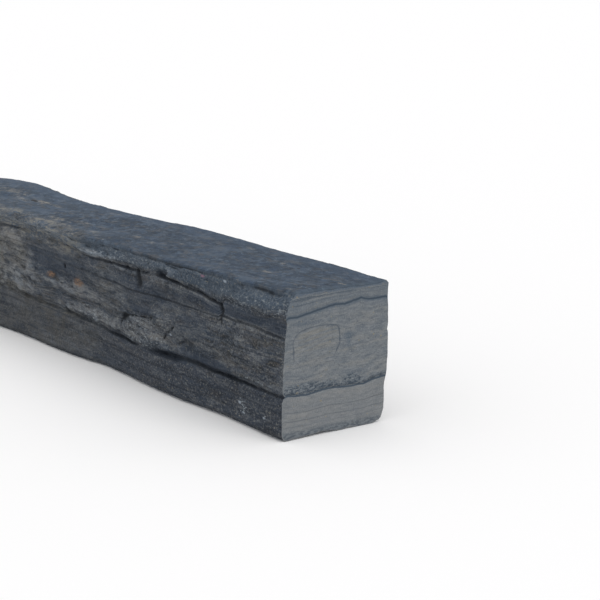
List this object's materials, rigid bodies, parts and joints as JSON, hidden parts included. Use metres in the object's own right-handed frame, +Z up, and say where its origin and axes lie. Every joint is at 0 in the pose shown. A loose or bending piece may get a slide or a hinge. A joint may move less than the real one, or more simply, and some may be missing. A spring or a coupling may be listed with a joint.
{
  "type": "schist post",
  "caption": "Long squared post of split blue-grey schist, lying down, with riven top and underside, broken sides that show the beds, and sawn ends.",
  "frame": {"origin": "on the ground under the middle of the post as it lies", "axes": "+X along the post to its better sawn end, +Y across its beds' broken edges to the back side, +Z up, square to the beds"},
  "size_m": [1.5, 0.1214, 0.135],
  "materials": {
    "schist": "riven and broken blue-grey schist, sawn on the two ends"
  },
  "bodies": {
    "root": {"post": "schist"}
  },
  "joints": []
}
